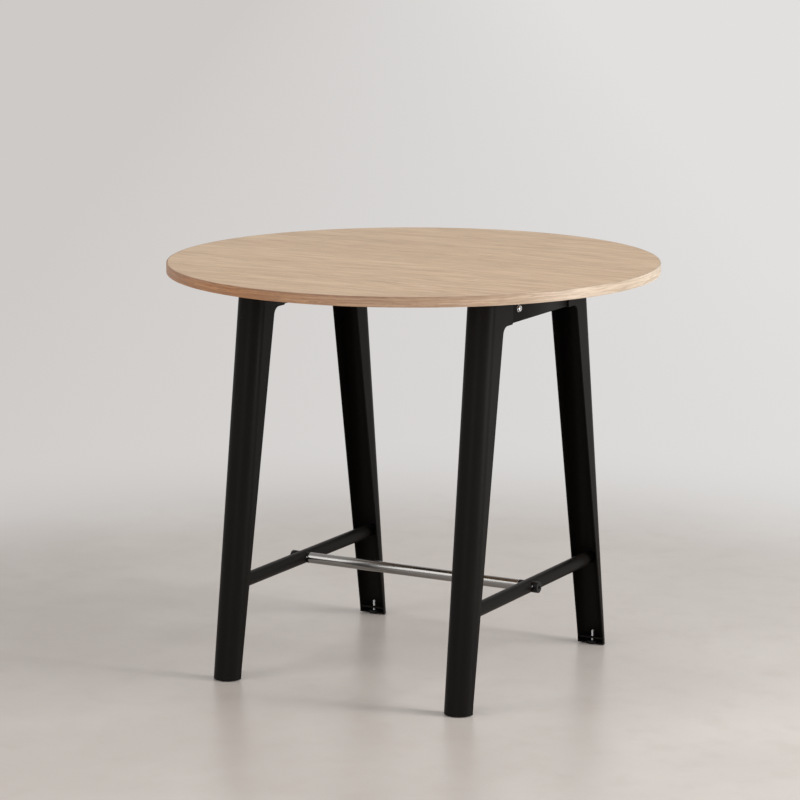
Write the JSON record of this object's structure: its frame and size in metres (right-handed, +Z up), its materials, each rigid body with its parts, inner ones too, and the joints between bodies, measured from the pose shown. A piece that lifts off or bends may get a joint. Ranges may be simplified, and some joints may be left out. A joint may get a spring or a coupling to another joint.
{
  "type": "standing meeting table",
  "caption": "Round oak-topped standing table on black folded-steel leg frames, joined by cross tubes and a stainless foot bar, with screw-in levelling glides.",
  "frame": {"origin": "on the floor, under the centre of the round top", "axes": "+Z up; +X along the foot bar from the left leg frame to the right one; +Y along the cross tubes from the front legs to the rear legs"},
  "size_m": [1.0998, 1.1, 0.924],
  "materials": {
    "oak_face": "matte lacquered oak veneer",
    "oak_edge": "matte lacquered solid oak",
    "oak_backing": "matte lacquered oak veneer",
    "board_core": "unfinished particle board",
    "black_powder_coat": "fine matte powder coat",
    "brushed_stainless": "brushed along the length",
    "plain_steel": "turned steel",
    "zinc_steel": "bright zinc plated",
    "black_oxide": "satin black oxide on turned steel",
    "pad_plastic": "fine matte moulded plastic"
  },
  "bodies": {
    "frame": {"top_board": "board_core", "top_veneer": "oak_face", "underside_veneer": "oak_backing", "edge_lipping": "oak_edge", "leg_front_left": "black_powder_coat", "head_bracket_front_left": "black_powder_coat", "foot_plate_front_left": "black_powder_coat", "sole_plate_front_left": "black_powder_coat", "leg_front_right": "black_powder_coat", "head_bracket_front_right": "black_powder_coat", "foot_plate_front_right": "black_powder_coat", "sole_plate_front_right": "black_powder_coat", "leg_rear_left": "black_powder_coat", "head_bracket_rear_left": "black_powder_coat", "foot_plate_rear_left": "black_powder_coat", "sole_plate_rear_left": "black_powder_coat", "leg_rear_right": "black_powder_coat", "head_bracket_rear_right": "black_powder_coat", "foot_plate_rear_right": "black_powder_coat", "sole_plate_rear_right": "black_powder_coat", "top_beam_left": "black_powder_coat", "cross_tube_left": "black_powder_coat", "bar_socket_left": "black_powder_coat", "bar_end_screw_left": "black_oxide", "top_beam_right": "black_powder_coat", "cross_tube_right": "black_powder_coat", "bar_socket_right": "black_powder_coat", "bar_end_screw_right": "black_oxide", "foot_bar": "brushed_stainless", "bar_inserts": "plain_steel", "bolt_spacers": "plain_steel", "bar_lock_screws": "zinc_steel", "beam_bolts": "zinc_steel", "beam_washers": "zinc_steel", "beam_nuts": "zinc_steel", "top_screws": "zinc_steel", "top_washers": "zinc_steel"},
    "foot_front_left": {"glide_pad_front_left": "pad_plastic"},
    "screw_front_left": {"glide_stud_front_left": "zinc_steel"},
    "foot_front_right": {"glide_pad_front_right": "pad_plastic"},
    "screw_front_right": {"glide_stud_front_right": "zinc_steel"},
    "foot_rear_left": {"glide_pad_rear_left": "pad_plastic"},
    "screw_rear_left": {"glide_stud_rear_left": "zinc_steel"},
    "foot_rear_right": {"glide_pad_rear_right": "pad_plastic"},
    "screw_rear_right": {"glide_stud_rear_right": "zinc_steel"}
  },
  "joints": [
    {"name": "glide_height_front_left", "type": "slide", "parent": "frame", "child": "foot_front_left", "axis": [0, 0, -1], "range_m": [0, 0.0075]},
    {"name": "glide_turn_front_left", "type": "hinge", "parent": "foot_front_left", "child": "screw_front_left", "pos_m": [-0.2916, -0.33781, 0.017], "axis": [0, 0, -1], "range_deg": [0, 2160]},
    {"name": "glide_height_front_right", "type": "slide", "parent": "frame", "child": "foot_front_right", "axis": [0, 0, -1], "range_m": [0, 0.0075]},
    {"name": "glide_turn_front_right", "type": "hinge", "parent": "foot_front_right", "child": "screw_front_right", "pos_m": [0.2916, -0.33781, 0.017], "axis": [0, 0, -1], "range_deg": [0, 2160]},
    {"name": "glide_height_rear_left", "type": "slide", "parent": "frame", "child": "foot_rear_left", "axis": [0, 0, -1], "range_m": [0, 0.0075]},
    {"name": "glide_turn_rear_left", "type": "hinge", "parent": "foot_rear_left", "child": "screw_rear_left", "pos_m": [-0.2916, 0.33781, 0.017], "axis": [0, 0, -1], "range_deg": [0, 2160]},
    {"name": "glide_height_rear_right", "type": "slide", "parent": "frame", "child": "foot_rear_right", "axis": [0, 0, -1], "range_m": [0, 0.0075]},
    {"name": "glide_turn_rear_right", "type": "hinge", "parent": "foot_rear_right", "child": "screw_rear_right", "pos_m": [0.2916, 0.33781, 0.017], "axis": [0, 0, -1], "range_deg": [0, 2160]}
  ],
  "couplings": [
    {"joint": "glide_turn_front_left", "follows": "glide_height_front_left", "rad_per_m": 5026.5},
    {"joint": "glide_turn_front_right", "follows": "glide_height_front_right", "rad_per_m": 5026.5},
    {"joint": "glide_turn_rear_left", "follows": "glide_height_rear_left", "rad_per_m": 5026.5},
    {"joint": "glide_turn_rear_right", "follows": "glide_height_rear_right", "rad_per_m": 5026.5}
  ]
}
